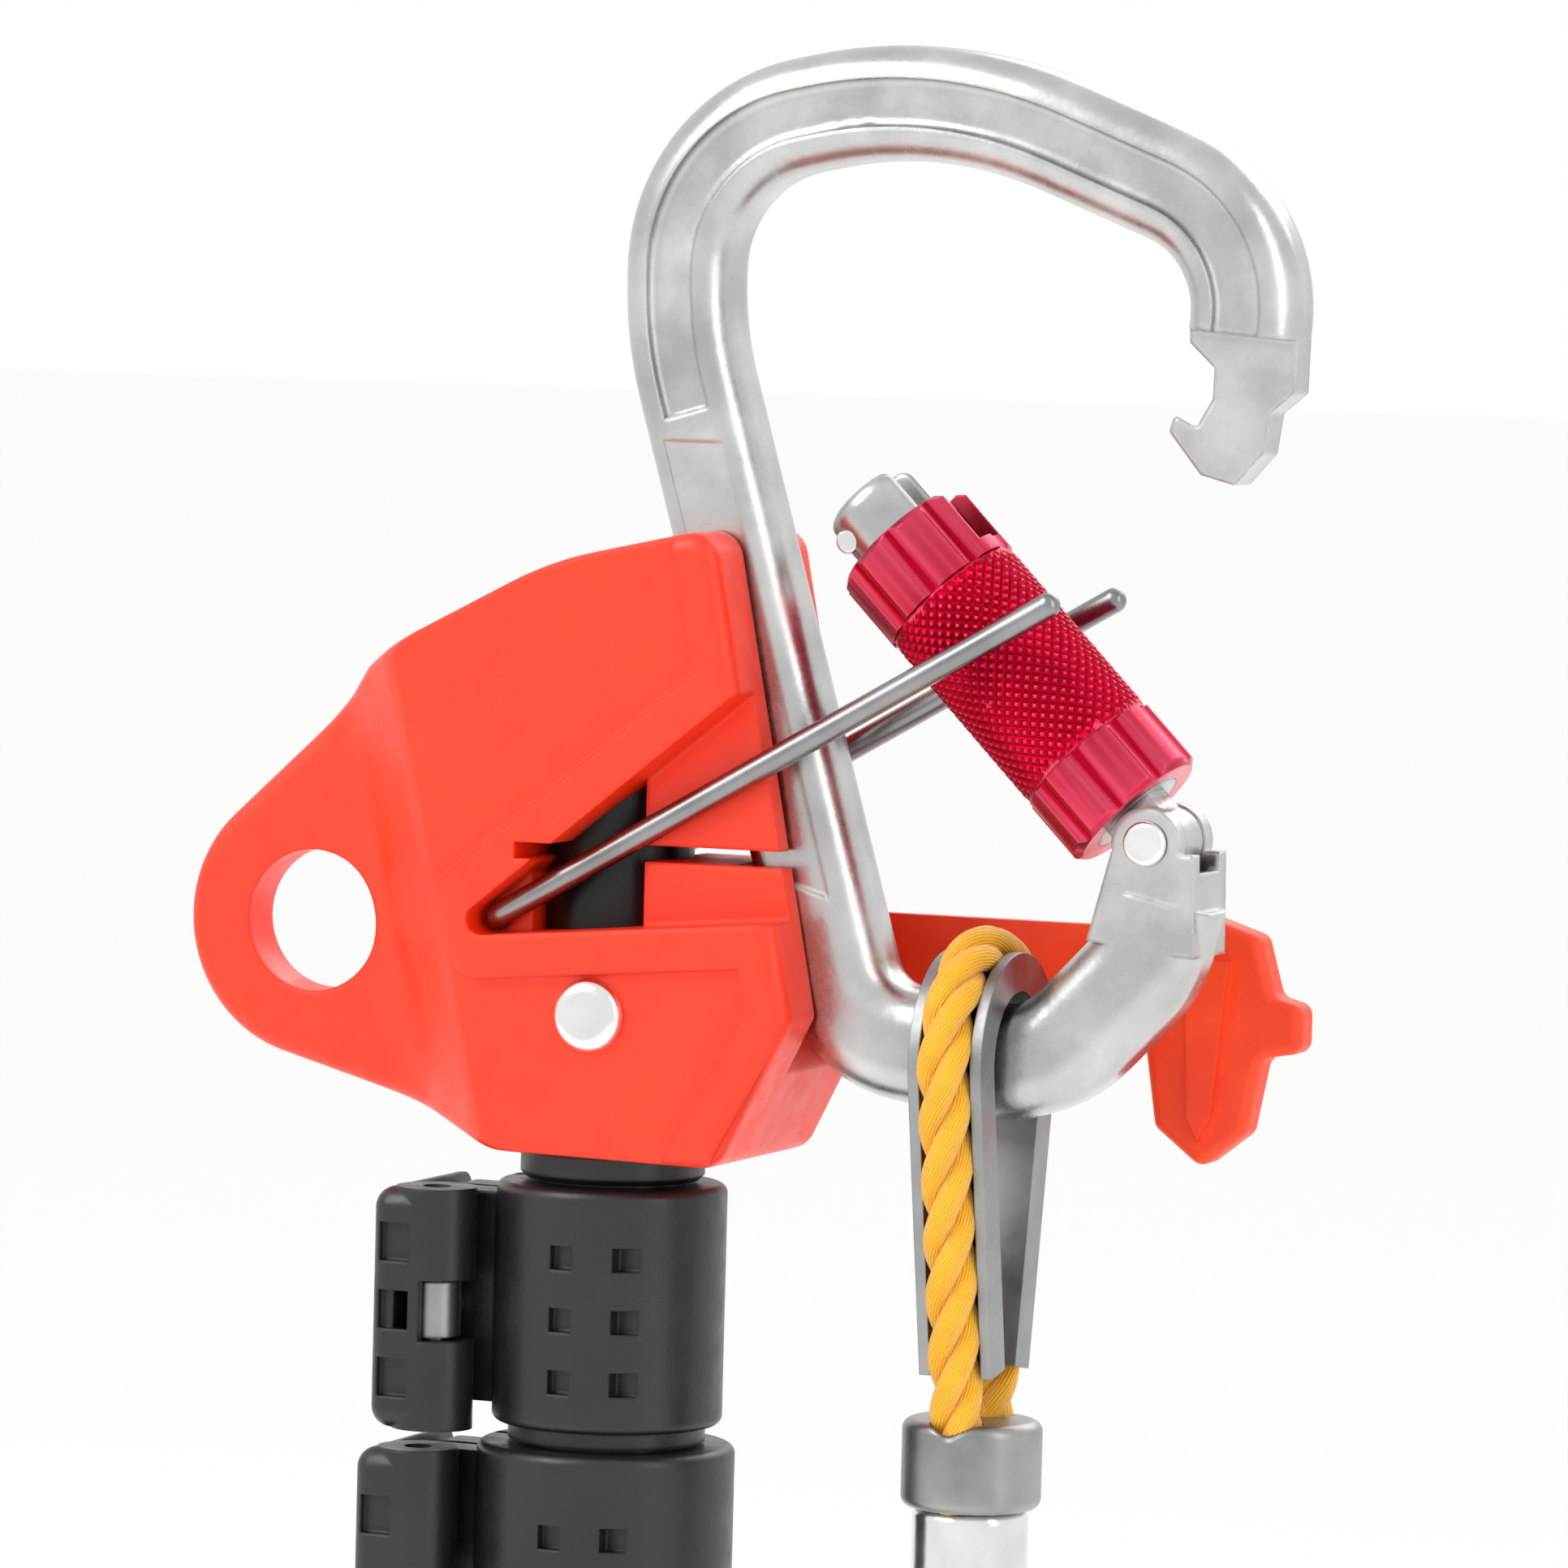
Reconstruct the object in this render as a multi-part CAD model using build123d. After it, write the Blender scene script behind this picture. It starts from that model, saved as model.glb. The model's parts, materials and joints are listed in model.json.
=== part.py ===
"""Clip stick: a telescopic pole whose moulded head holds an open auto-lock carabiner with a rope strop.

Millimetres. The origin is the middle of the hand grip on the outer tube, +Z runs up the pole, and the
carabiner lies in the XZ plane with its spine towards the pole. Head pieces are drawn from the head's foot,
which HEAD_Z then lifts to its place.
"""
from math import cos, hypot, radians, sin
import os

from build123d import *

# ---------------------------------------------------------------- pole
INNER_R = 8.0               # inner tube, outside radius
TUBE_STEP = 1.5             # each tube is this much larger in radius than the one inside it
MIDDLE_R = INNER_R + TUBE_STEP
OUTER_R = MIDDLE_R + TUBE_STEP
TUBE_WALL = 0.9
SLIDE_FIT = 0.05            # radial clearance of every sliding or turning fit
OUTER_LENGTH = 340.0
MIDDLE_LENGTH = 345.0
INNER_LENGTH = 390.0
GRIP_BELOW_HEAD = 230.0     # middle of the grip, below the head's foot
BUSH_LENGTH = 20.0
BUSH_WALL = 1.2
CAP_WALL = 1.6
CAP_DEPTH = 20.0
CAP_RIBS = 12
STOP_COLLAR_R = INNER_R + 2.0
STOP_COLLAR_HEIGHT = 3.0

# ---------------------------------------------------------------- clamps
CLAMP_WALL = 3.0            # from the tube it grips to its outside
UPPER_CLAMP_R = MIDDLE_R + CLAMP_WALL
LOWER_CLAMP_R = OUTER_R + CLAMP_WALL
UPPER_CLAMP_HEIGHT = 28.0
LOWER_CLAMP_HEIGHT = 34.0
CLAMP_GAP = 0.4             # between the pole's stacked pieces
CLAMP_LIP = 1.8             # thinner foot of each clamp
SEAT_SHARE = 0.5            # part of a clamp's height that sits on its own tube
EAR_REACH = 7.0
EAR_HALF = 5.0
SPLIT_HALF = 0.6
SCREW_R = 1.6
SCREW_OUT = 4.0             # screw's line beyond the clamp's wall
EYE_R = 2.9
EYE_HALF = 3.0
PIN_R = 1.5
HUB_R = 4.4
LEVER_THICK = 2.6
LEVER_REACH = 17.0
LEVER_CLEAR = 0.15
LEVER_SLOT = 0.3            # clearance of the lever's slot round the screw's eye
LEVER_ROUND = 2.3
WINDOW_HALF = 2.1           # half height of each moulding window in a lever
WINDOW_DEPTH = 1.2
NUT_R = 2.8
NUT_HEIGHT = 2.4
SOCKET_SIZE = 2.6
SOCKET_DEPTH = 1.4
SOCKET_COLUMNS = (-0.5, 6.3)
SOCKET_PITCH = 0.24         # of the clamp's height

# ---------------------------------------------------------------- head
HEAD_TOP = 68.1
RIM_RISE = 1.0
RIM_WIDTH = 4.6
HEAD_EDGE = 1.8
HEAD_SHOULDER, HEAD_TOE, HEAD_ELBOW = (-26.6, 51.9), (-9.0, 0.4), (25.4, 16.3)
RIM_EDGE_X = 15.5           # where the right-hand rim meets the head's foot
RAMP_LEAN = 13.0            # lean of the ramp between the tab and the body, in degrees
FIN_Y = 3.0                 # half thickness of the ring tab
RING_X, RING_Z = -35.1, 23.2
RING_OUTER_R = 15.2
RING_HOLE_R = 7.75
TUBE_SOCKET = 52.0          # how far the inner tube goes into the head
CORE_Y = INNER_R + 0.6      # half width between the two mouths
MOUTH_LOW, MOUTH_HIGH = 5.0, 39.0
SLIT_LOW, SLIT_HIGH = 32.0, 33.8
WINDOW_LEFT, WINDOW_RIGHT = -6.5, 6.5
HEAD_RIVET_X, HEAD_RIVET_Z = 2.4, 15.6
HEAD_RIVET_R = 2.0
HEAD_RIVET_DOME_R = 4.0
HEAD_RIVET_DOME_RISE = 1.7
DOME_SHARE = 0.9            # how much of a rivet head's height is rounded

# ---------------------------------------------------------------- wire prop
WIRE_R = 1.35
WIRE_Y = CORE_Y + WIRE_R + 0.25    # each prong runs just outside the core
PROP_X, PROP_Z = -(INNER_R + WIRE_R + 0.95), 25.2
CHEEK_Y = WIRE_Y + 2.8      # half width of the head's body
MOUTH_GAP = 0.3
WIRE_ANGLE = 30.0
WIRE_LENGTH = 72.0
WIRE_BEND_R = 1.5

# ---------------------------------------------------------------- carabiner
BAR_WIDTH = 12.2
BAR_DEPTH = 11.0
BAR_ROUND = 4.2
CHANNEL_GAP = 0.35
GROOVE_WIDTH = 5.2
GROOVE_DEPTH = 1.5
PANEL_WIDTH = 7.0
PANEL_DEPTH = 0.35
PANEL_LOW, PANEL_HIGH = 31.0, 77.0
BOW = [(70.0, 90.0), (70.9, 101.6), (36.0, 115.4), (5.9, 109.0), (6.2, 88.0)]
BOW_RADII = [14.0, 48.0, 17.0, 40.0]
FOOT = [(27.8, 14.4), (49.4, 11.4), (60.9, 23.4), (62.6, 30.6)]
FOOT_RADII = [10.0, 13.0, 10.0]
HINGE_X, HINGE_Z = 61.9, 36.5
EAR_R = 3.8
EAR_INSET = 0.2             # the ears stand this far inside the bar's faces
TONGUE_HALF = 3.0
GATE_ANGLE = 134.5          # direction of the open gate, from +X
GATE_R = 5.3
GATE_LENGTH = 49.4
FORK_HALF = 2.8
FORK_START = GATE_LENGTH - 12.9
NOSE = [(64.2, 92.0), (64.2, 89.0), (67.0, 86.4), (66.9, 83.2), (65.2, 80.2), (62.7, 81.4), (62.2, 79.6),
        (65.8, 75.2), (69.6, 74.2), (72.6, 77.6), (73.2, 81.8), (75.8, 84.0), (76.0, 92.0)]
NOSE_HALF = 2.4
NOSE_ROUND = 0.45
LATCH_ALONG, LATCH_ACROSS = GATE_LENGTH - 3.2, -3.6
LATCH_R = 1.2
RIVET_R = 1.6
RIVET_DOME_R = 2.4
RIVET_DOME_RISE = 0.7
SLEEVE_R = 8.2
SLEEVE_START, SLEEVE_END = 4.1, GATE_LENGTH - 6.2
SLEEVE_BORE_R = 6.6
COLLAR_LENGTH = 3.0
SLEEVE_LOBES = 9
LOBE_R = 2.0
KNURL_START, KNURL_END = 12.0, SLEEVE_END - 8.4
KNURL_R = 7.7
PLUNGER_R = 1.5
SPRING_GAP = 0.1

# ---------------------------------------------------------------- strap
STRAP_GAP = 1.2             # between the strap and the rope that runs in front of it
STRAP_THICK = 1.8
STRAP_LOW, STRAP_HIGH = 13.0, 26.0
STRAP_ROOT_X = 8.0
STRAP_HINGE_X = 25.0
STRAP_HINGE_GAP = 0.3
PADDLE = [(54.0, 26.0), (54.0, 19.0), (56.2, 4.6), (61.6, 0.4), (66.6, 4.4), (68.2, 12.6), (72.6, 13.4),
          (72.6, 18.4), (69.4, 19.2), (67.6, 25.6), (62.0, 27.4)]
PADDLE_RIB = [(59.6, 23.0), (60.2, 6.0), (61.5, 3.4), (63.0, 6.0), (64.6, 23.0)]
PADDLE_RADIUS = 1.5
PADDLE_THICK = 5.0
PADDLE_EDGE = 1.2
PADDLE_RIB_RISE = 0.9
STRAP_RIVET_R = 2.0
STRAP_FOOT_LENGTH, STRAP_FOOT_HEIGHT = 9.0, 7.2

# ---------------------------------------------------------------- strop
ROPE_R = 2.9
THIMBLE_WALL = 1.2
THIMBLE_GAP = 0.9           # between the thimble and the bar that it hangs on
THIMBLE_HALF = ROPE_R + 1.2    # half width of the thimble across its rims
EYE_X = 42.4
THIMBLE_SHORT = 5.0         # the thimble's tips end above the band
THROAT_DROP = 38.5          # from the bar's centre down to the band's top
BAND_R, BAND_HEIGHT = 2 * ROPE_R + 1.7, 9.5
FERRULE_R, FERRULE_LENGTH = ROPE_R + 3.3, 26.0
STROP_GAP = 24.0            # rope seen between the two ferrules

BAR_CORNER = hypot(BAR_WIDTH / 2 - BAR_ROUND, BAR_DEPTH / 2 - BAR_ROUND) + BAR_ROUND
CROWN_R = BAR_CORNER + THIMBLE_GAP + THIMBLE_WALL + ROPE_R    # the rope's centre line round the crown
STRAP_Y = CROWN_R + ROPE_R + STRAP_GAP                        # front face of the strap
HEAD_Z = GRIP_BELOW_HEAD
UPPER_CLAMP_TOP = -STOP_COLLAR_HEIGHT - CLAMP_GAP
LOWER_CLAMP_TOP = UPPER_CLAMP_TOP - UPPER_CLAMP_HEIGHT - CLAMP_GAP
MIDDLE_TOP = UPPER_CLAMP_TOP - UPPER_CLAMP_HEIGHT * (1 - SEAT_SHARE)
OUTER_TOP = LOWER_CLAMP_TOP - LOWER_CLAMP_HEIGHT * (1 - SEAT_SHARE)
INNER_BOTTOM = TUBE_SOCKET - INNER_LENGTH
MIDDLE_BOTTOM = MIDDLE_TOP - MIDDLE_LENGTH
OUTER_BOTTOM = OUTER_TOP - OUTER_LENGTH


def save(name, shape, lift=HEAD_Z):
    """Write one piece as parts/name.step, lifted from the head's foot to the row's origin."""
    placed = Pos(0, 0, lift) * shape
    placed.label = name
    export_step(placed, f"parts/{name}.step")


def slab(sketch, low_y, high_y):
    """A drawing in X and Z, as thick as the gap between two Y values."""
    return extrude(Plane.XZ.offset(-high_y) * sketch, high_y - low_y)


def upright(radius, low_z, high_z, x=0.0, y=0.0):
    return Pos(x, y, (low_z + high_z) / 2) * Cylinder(radius, high_z - low_z)


def across(radius, half, x, z):
    """A cylinder along Y, centred on the mid-plane."""
    return Pos(x, 0, z) * Rot(90, 0, 0) * Cylinder(radius, 2 * half)


def block(low, high):
    size = [b - a for a, b in zip(low, high)]
    middle = [(a + b) / 2 for a, b in zip(low, high)]
    return Pos(*middle) * Box(*size)


def tube(outer, inner, low_z, high_z):
    return upright(outer, low_z, high_z) - upright(inner, low_z - 1, high_z + 1)


def rivet(shaft_r, dome_r, rise, seat_y, x, z):
    """A through rivet along Y with a domed head seated on each side."""
    head = Pos(0, 0, seat_y + rise / 2) * Cylinder(dome_r, rise)
    head = fillet(head.edges().group_by(Axis.Z)[-1], rise * DOME_SHARE)
    shape = Cylinder(shaft_r, 2 * seat_y) + head + mirror(head, Plane.XY)
    return Pos(x, 0, z) * Rot(90, 0, 0) * shape


# ---------------------------------------------------------------- pole pieces
def outer_tube():
    return tube(OUTER_R, OUTER_R - TUBE_WALL, OUTER_BOTTOM, OUTER_TOP)


def middle_tube():
    return tube(MIDDLE_R, MIDDLE_R - TUBE_WALL, MIDDLE_BOTTOM, MIDDLE_TOP)


def inner_tube():
    shape = tube(INNER_R, INNER_R - TUBE_WALL, INNER_BOTTOM, TUBE_SOCKET)
    return shape - across(HEAD_RIVET_R, INNER_R + 1, HEAD_RIVET_X, HEAD_RIVET_Z)


def bush(tube_r, bore_r, bottom):
    """A flanged slide bush in the foot of a tube, running in the next tube's bore."""
    skirt_r = tube_r - TUBE_WALL
    flange = upright(bore_r - SLIDE_FIT, bottom - BUSH_WALL * 2, bottom)
    stem = upright(skirt_r, bottom, bottom + BUSH_LENGTH)
    return flange + stem - upright(skirt_r - BUSH_WALL, bottom - BUSH_LENGTH, bottom + 2 * BUSH_LENGTH)


def foot_cap():
    low = OUTER_BOTTOM - 2 * CAP_WALL
    cup = upright(OUTER_R + CAP_WALL, low, OUTER_BOTTOM + CAP_DEPTH)
    cup = fillet(cup.edges().group_by(Axis.Z)[0], CAP_WALL)
    cup -= upright(OUTER_R, OUTER_BOTTOM, OUTER_BOTTOM + CAP_DEPTH + 1)
    for rib in range(CAP_RIBS):
        groove = upright(CAP_WALL / 3, OUTER_BOTTOM + CAP_WALL, OUTER_BOTTOM + CAP_DEPTH + 1,
                         x=OUTER_R + CAP_WALL)
        cup -= Rot(0, 0, rib * 360 / CAP_RIBS) * groove
    return cup


def stop_collar():
    ring = tube(STOP_COLLAR_R, INNER_R, -STOP_COLLAR_HEIGHT, 0)
    return chamfer(ring.edges().filter_by(GeomType.CIRCLE).group_by(Axis.Z)[0].sort_by(SortBy.RADIUS)[-1], 0.6)


class Clamp:
    """One flip-lock clamp: its wall radius, height, top and the two tubes that it joins."""

    def __init__(self, wall_r, height, top, sliding_r, seat_r):
        self.wall_r, self.height, self.top = wall_r, height, top
        self.sliding_r, self.seat_r = sliding_r, seat_r
        self.bottom = top - height
        self.middle = top - height / 2
        self.pin_x = -(wall_r + SCREW_OUT)
        self.pin_y = -(EAR_HALF + HUB_R + LEVER_CLEAR)

    def collar(self):
        lip_r = self.wall_r - CLAMP_LIP
        body = upright(self.wall_r, self.bottom + CLAMP_LIP, self.top)
        body = fillet(body.edges().filter_by(GeomType.CIRCLE), 1.0)
        body += upright(lip_r, self.bottom, self.bottom + 2 * CLAMP_LIP)
        ears = block((-self.wall_r - EAR_REACH, -EAR_HALF, self.bottom + 2 * CLAMP_LIP),
                     (-self.sliding_r, EAR_HALF, self.top - 1.5))
        body += fillet(ears.edges().filter_by(Axis.Y), 1.5)
        seat_top = self.top - self.height * (1 - SEAT_SHARE)
        body -= upright(self.seat_r, self.bottom - 1, seat_top)
        body -= upright(self.sliding_r + SLIDE_FIT, seat_top - 1, self.top + 1)
        body -= block((-2 * self.wall_r, -SPLIT_HALF, self.bottom - 1), (0, SPLIT_HALF, self.top + 1))
        body -= self.screw_hole()
        return body - self.sockets()

    def screw_hole(self):
        return across(SCREW_R + SLIDE_FIT, EAR_HALF + 1, self.pin_x, self.middle)

    def sockets(self):
        """Moulding pockets on the front, in two columns of three."""
        pockets = []
        for x in SOCKET_COLUMNS:
            for row in (-1, 0, 1):
                z = self.middle + row * self.height * SOCKET_PITCH
                front = -(self.wall_r ** 2 - x ** 2) ** 0.5
                pockets.append(block((x - SOCKET_SIZE / 2, front - 2, z - SOCKET_SIZE / 2),
                                     (x + SOCKET_SIZE / 2, front + SOCKET_DEPTH, z + SOCKET_SIZE / 2)))
        return Compound(pockets)

    def screw(self):
        shaft = Pos(self.pin_x, (self.pin_y + EAR_HALF + NUT_HEIGHT) / 2, self.middle) * Rot(90, 0, 0)
        shape = shaft * Cylinder(SCREW_R, EAR_HALF + NUT_HEIGHT - self.pin_y)
        nut = extrude(RegularPolygon(NUT_R, 6), NUT_HEIGHT)
        shape += Pos(self.pin_x, EAR_HALF, self.middle) * Rot(-90, 0, 0) * nut
        shape += upright(EYE_R, self.middle - EYE_HALF, self.middle + EYE_HALF, self.pin_x, self.pin_y)
        return shape - self.pin_rod(PIN_R, 1)

    def pin_rod(self, radius, longer=0.0):
        return upright(radius, self.lever_low() + 1 - longer, self.lever_high() - 1 + longer,
                       self.pin_x, self.pin_y)

    def lever_low(self):
        return self.bottom + 1.0

    def lever_high(self):
        return self.top - 0.8

    def lever(self):
        low, high = self.lever_low(), self.lever_high()
        inner = -(self.wall_r + EAR_REACH + 2 * SPLIT_HALF / 3)
        arm = block((inner - LEVER_THICK, self.pin_y - HUB_R, low), (inner, self.pin_y + LEVER_REACH, high))
        front = block((inner - LEVER_THICK, self.pin_y - HUB_R, low), (self.pin_x, self.pin_y, high))
        shape = arm + front
        left_front = shape.edges().filter_by(Axis.Z).sort_by(Axis.X)[:2]
        shape = fillet(left_front, LEVER_ROUND)
        shape = fillet(shape.edges().filter_by(Axis.Y).group_by(Axis.X)[0], LEVER_ROUND)
        shape += upright(HUB_R, low, high, self.pin_x, self.pin_y)
        shape -= self.pin_rod(PIN_R + SLIDE_FIT, 3)
        eye_r, eye_half = EYE_R + LEVER_SLOT, EYE_HALF + LEVER_SLOT
        shape -= block((inner, self.pin_y - eye_r, self.middle - eye_half),
                       (0, self.pin_y + eye_r + LEVER_THICK, self.middle + eye_half))
        shape -= block((self.pin_x, self.pin_y - HUB_R - 1, self.middle - eye_half),
                       (0, self.pin_y, self.middle + eye_half))
        front_y = self.pin_y - HUB_R
        for row in (-1, 0, 1):
            z = self.middle + row * (high - low) * 0.28
            shape -= block((inner - LEVER_THICK + WINDOW_DEPTH, front_y - 1, z - WINDOW_HALF),
                           (self.pin_x - WINDOW_DEPTH, front_y + WINDOW_DEPTH, z + WINDOW_HALF))
        return shape


# ---------------------------------------------------------------- head
def spine_x(z):
    """X of the spine's centre line at a height."""
    (top_x, top_z), (low_x, low_z) = BOW[-1], FOOT[0]
    return low_x + (z - low_z) * (top_x - low_x) / (top_z - low_z)


def tangent_point(x, z, side):
    """Where a line from a point touches the ring's outside; side picks which way round."""
    dx, dz = x - RING_X, z - RING_Z
    distance = hypot(dx, dz)
    along = RING_OUTER_R ** 2 / distance
    off = side * RING_OUTER_R * (1 - (RING_OUTER_R / distance) ** 2) ** 0.5
    return (RING_X + (along * dx - off * dz) / distance, RING_Z + (along * dz + off * dx) / distance)


def head_outline():
    upper, lower = tangent_point(*HEAD_SHOULDER, 1), tangent_point(*HEAD_TOE, -1)
    corners = [lower, HEAD_TOE, (17.4, 0.0), HEAD_ELBOW, (15.2, HEAD_TOP), (-3.6, 63.9), HEAD_SHOULDER,
               upper]
    edge = FilletPolyline(*corners, radius=[8.0, 3.0, 1.5, 3.0, 40.0, 6.0])
    ring = ThreePointArc(upper, (RING_X - RING_OUTER_R, RING_Z), lower)
    return make_face([*edge.edges(), ring])


def from_pivot(angle, along, off):
    """A point along a ray from the prop's pivot, moved off to its left."""
    a = radians(angle)
    return (PROP_X + along * cos(a) - off * sin(a), PROP_Z + along * sin(a) + off * cos(a))


def mouth_outline():
    gap = WIRE_R + MOUTH_GAP
    return Polygon(from_pivot(MOUTH_LOW, 0, -gap), from_pivot(MOUTH_LOW, 60, -gap),
                   from_pivot(MOUTH_HIGH, 60, gap), from_pivot(MOUTH_HIGH, 0, gap), align=None) \
        + Pos(PROP_X, PROP_Z) * Circle(gap)


def head_plan():
    """The head seen from above: a thin tab that swells to the body, leaning as the ramp does."""
    half = [(-70.0, FIN_Y), (-20.5, FIN_Y), (-8.5, CHEEK_Y + RIM_RISE), (60.0, CHEEK_Y + RIM_RISE)]
    front = FilletPolyline(*half, radius=[9.0, 9.0])
    back = mirror(front, Plane.XZ)
    ends = [Line(front @ 0, back @ 0), Line(front @ 1, back @ 1)]
    plan = make_face([*front.edges(), *back.edges(), *ends])
    return Rot(0, -RAMP_LEAN, 0) * extrude(Pos(0, 0, -20) * plan, 130)


def rim():
    """The raised rim along the right-hand edge and round both lips of the mouth."""
    field = Polygon((-60, -30), (RIM_EDGE_X, -30), (RIM_EDGE_X, -1.5), HEAD_ELBOW, (15.2, HEAD_TOP),
                    (12.2, 84), (-60, 84), align=None) - mouth_outline()
    return field - offset(field, -RIM_WIDTH)


def channel():
    """The slot that the carabiner's spine drops into."""
    half = BAR_WIDTH / 2 / cos(0.285) + CHANNEL_GAP
    left = [(spine_x(z) - half, z) for z in (-5.0, HEAD_TOP + 5)]
    return slab(Polygon(left[0], (60, -5), (60, HEAD_TOP + 5), left[1], align=None),
                -BAR_DEPTH / 2 - CHANNEL_GAP, BAR_DEPTH / 2 + CHANNEL_GAP)


def head_shell():
    width = CHEEK_Y + RIM_RISE
    body = slab(head_outline(), -width, width) & head_plan()
    body = fillet(body.edges().group_by(Axis.Y)[0] + body.edges().group_by(Axis.Y)[-1], HEAD_EDGE)
    panels = head_outline() - rim() - mouth_outline()
    for side in (-1, 1):
        low, high = sorted((side * CHEEK_Y, side * (width + 1)))
        body -= slab(panels, low, high)
        low, high = sorted((side * CORE_Y, side * (width + 1)))
        body -= slab(mouth_outline(), low, high)
    window = mouth_outline() & Pos((WINDOW_LEFT + WINDOW_RIGHT) / 2, HEAD_TOP / 2) * Rectangle(
        WINDOW_RIGHT - WINDOW_LEFT, HEAD_TOP)
    body -= slab(window, -width, width)
    body -= block((WINDOW_LEFT, -width, SLIT_LOW), (40, width, SLIT_HIGH))
    body -= channel()
    body -= upright(INNER_R, -1, TUBE_SOCKET)
    body -= across(RING_HOLE_R, width, RING_X, RING_Z)
    body -= across(WIRE_R + SLIDE_FIT, width, PROP_X, PROP_Z)
    return body - across(HEAD_RIVET_R, width + 1, HEAD_RIVET_X, HEAD_RIVET_Z)


def head_rivet():
    return rivet(HEAD_RIVET_R, HEAD_RIVET_DOME_R, HEAD_RIVET_DOME_RISE, CHEEK_Y, HEAD_RIVET_X, HEAD_RIVET_Z)


def wire_prop():
    """One bent wire: a crossbar through the head and a prong on each side of the gate."""
    a = radians(WIRE_ANGLE)
    plane = Plane(origin=(PROP_X, 0, PROP_Z), x_dir=(cos(a), 0, sin(a)), z_dir=(sin(a), 0, -cos(a)))
    route = plane * FilletPolyline((WIRE_LENGTH, -WIRE_Y), (0, -WIRE_Y), (0, WIRE_Y), (WIRE_LENGTH, WIRE_Y),
                                   radius=WIRE_BEND_R)
    start = Plane(origin=route @ 0, z_dir=route % 0)
    shape = sweep(start * Circle(WIRE_R), path=route)
    for y in (-WIRE_Y, WIRE_Y):
        shape += plane * Pos(WIRE_LENGTH, y, 0) * Sphere(WIRE_R + 0.01)
    return shape


# ---------------------------------------------------------------- carabiner
def bar_route(corners, radii):
    return Plane.XZ * FilletPolyline(*corners, radius=radii)


def along_bar(route, sketch):
    """Sweep a section, drawn as depth by width, along a route in the XZ plane."""
    start = Plane(origin=route @ 0, x_dir=(0, 1, 0), z_dir=route % 0)
    return sweep(start * sketch, path=route)


def nose_outline():
    return make_face(FilletPolyline(*NOSE, radius=NOSE_ROUND, close=True).edges())


def hinge_ears():
    reach = HINGE_X + EAR_R + 1.5
    outline = Polygon((67.4, 24.6), (reach, HINGE_Z - 1), (HINGE_X - EAR_R, HINGE_Z - 1), (55.6, 26.0),
                      align=None)
    outline += Pos(HINGE_X, HINGE_Z) * Circle(EAR_R)
    half = BAR_DEPTH / 2 - EAR_INSET
    return slab(outline, -half, half)


def carabiner_frame():
    whole = bar_route(BOW + FOOT, BOW_RADII + FOOT_RADII)
    frame = along_bar(whole, RectangleRounded(BAR_DEPTH, BAR_WIDTH, BAR_ROUND))
    frame += slab(nose_outline(), -NOSE_HALF, NOSE_HALF)
    frame += hinge_ears()
    slot_r = EAR_R + 1.4
    slot = across(slot_r, TONGUE_HALF + 0.1, HINGE_X, HINGE_Z)
    slot += block((HINGE_X - 14, -TONGUE_HALF - 0.1, HINGE_Z - 3),
                  (HINGE_X + 14, TONGUE_HALF + 0.1, HINGE_Z + 9))
    frame -= slot
    bow = bar_route(BOW + [(spine_x(80), 80.0)], BOW_RADII)
    start = Plane(origin=bow @ 0, x_dir=(0, 1, 0), z_dir=bow % 0)
    for side in (-1, 1):
        groove = Pos(side * BAR_DEPTH / 2, 0) * RectangleRounded(2 * GROOVE_DEPTH, GROOVE_WIDTH, 0.9)
        frame -= sweep(start * groove, path=bow)
        frame -= spine_panel(side)
    return frame - across(RIVET_R, BAR_DEPTH, HINGE_X, HINGE_Z)


def spine_panel(side):
    """The shallow flat panel down the spine's face."""
    lean = (spine_x(PANEL_LOW) - spine_x(PANEL_HIGH)) / (PANEL_HIGH - PANEL_LOW)
    half = PANEL_WIDTH / 2
    outline = Polygon((spine_x(PANEL_LOW) - half, PANEL_LOW),
                      (spine_x(PANEL_LOW) + half, PANEL_LOW - lean * PANEL_WIDTH),
                      (spine_x(PANEL_HIGH) + half, PANEL_HIGH), (spine_x(PANEL_HIGH) - half, PANEL_HIGH),
                      align=None)
    low, high = sorted((side * (BAR_DEPTH / 2 - PANEL_DEPTH), side * BAR_DEPTH))
    return slab(outline, low, high)


def gate_plane():
    """Local frame of the gate: Z along it from the hinge, Y through the thickness."""
    a = radians(GATE_ANGLE)
    return Plane(origin=(HINGE_X, 0, HINGE_Z), x_dir=(sin(a), 0, -cos(a)), z_dir=(cos(a), 0, sin(a)))


def in_gate(shape):
    return gate_plane() * shape


def gate_core():
    stem = upright(GATE_R, SLEEVE_START, GATE_LENGTH)
    stem = fillet(stem.edges().group_by(Axis.Z)[-1], 1.6)
    knuckle = across(EAR_R - 0.2, TONGUE_HALF, 0, 0)
    neck = block((-EAR_R + 0.8, -TONGUE_HALF, 0), (EAR_R - 0.8, TONGUE_HALF, SLEEVE_START))
    core = stem + knuckle + neck
    core -= block((-10, -FORK_HALF, FORK_START), (10, FORK_HALF, GATE_LENGTH + 1))
    core -= across(RIVET_R + SLIDE_FIT, 10, 0, 0)
    core -= across(LATCH_R, 10, LATCH_ACROSS, LATCH_ALONG)
    return core - upright(PLUNGER_R + SPRING_GAP, SLEEVE_START + 2, FORK_START - 8)


def latch_pin():
    return rivet(LATCH_R, LATCH_R + 0.2, 0.4, 3.6, LATCH_ACROSS, LATCH_ALONG)


def gate_plunger():
    return upright(PLUNGER_R, SLEEVE_START + 2.2, SLEEVE_START + 8)


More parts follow.
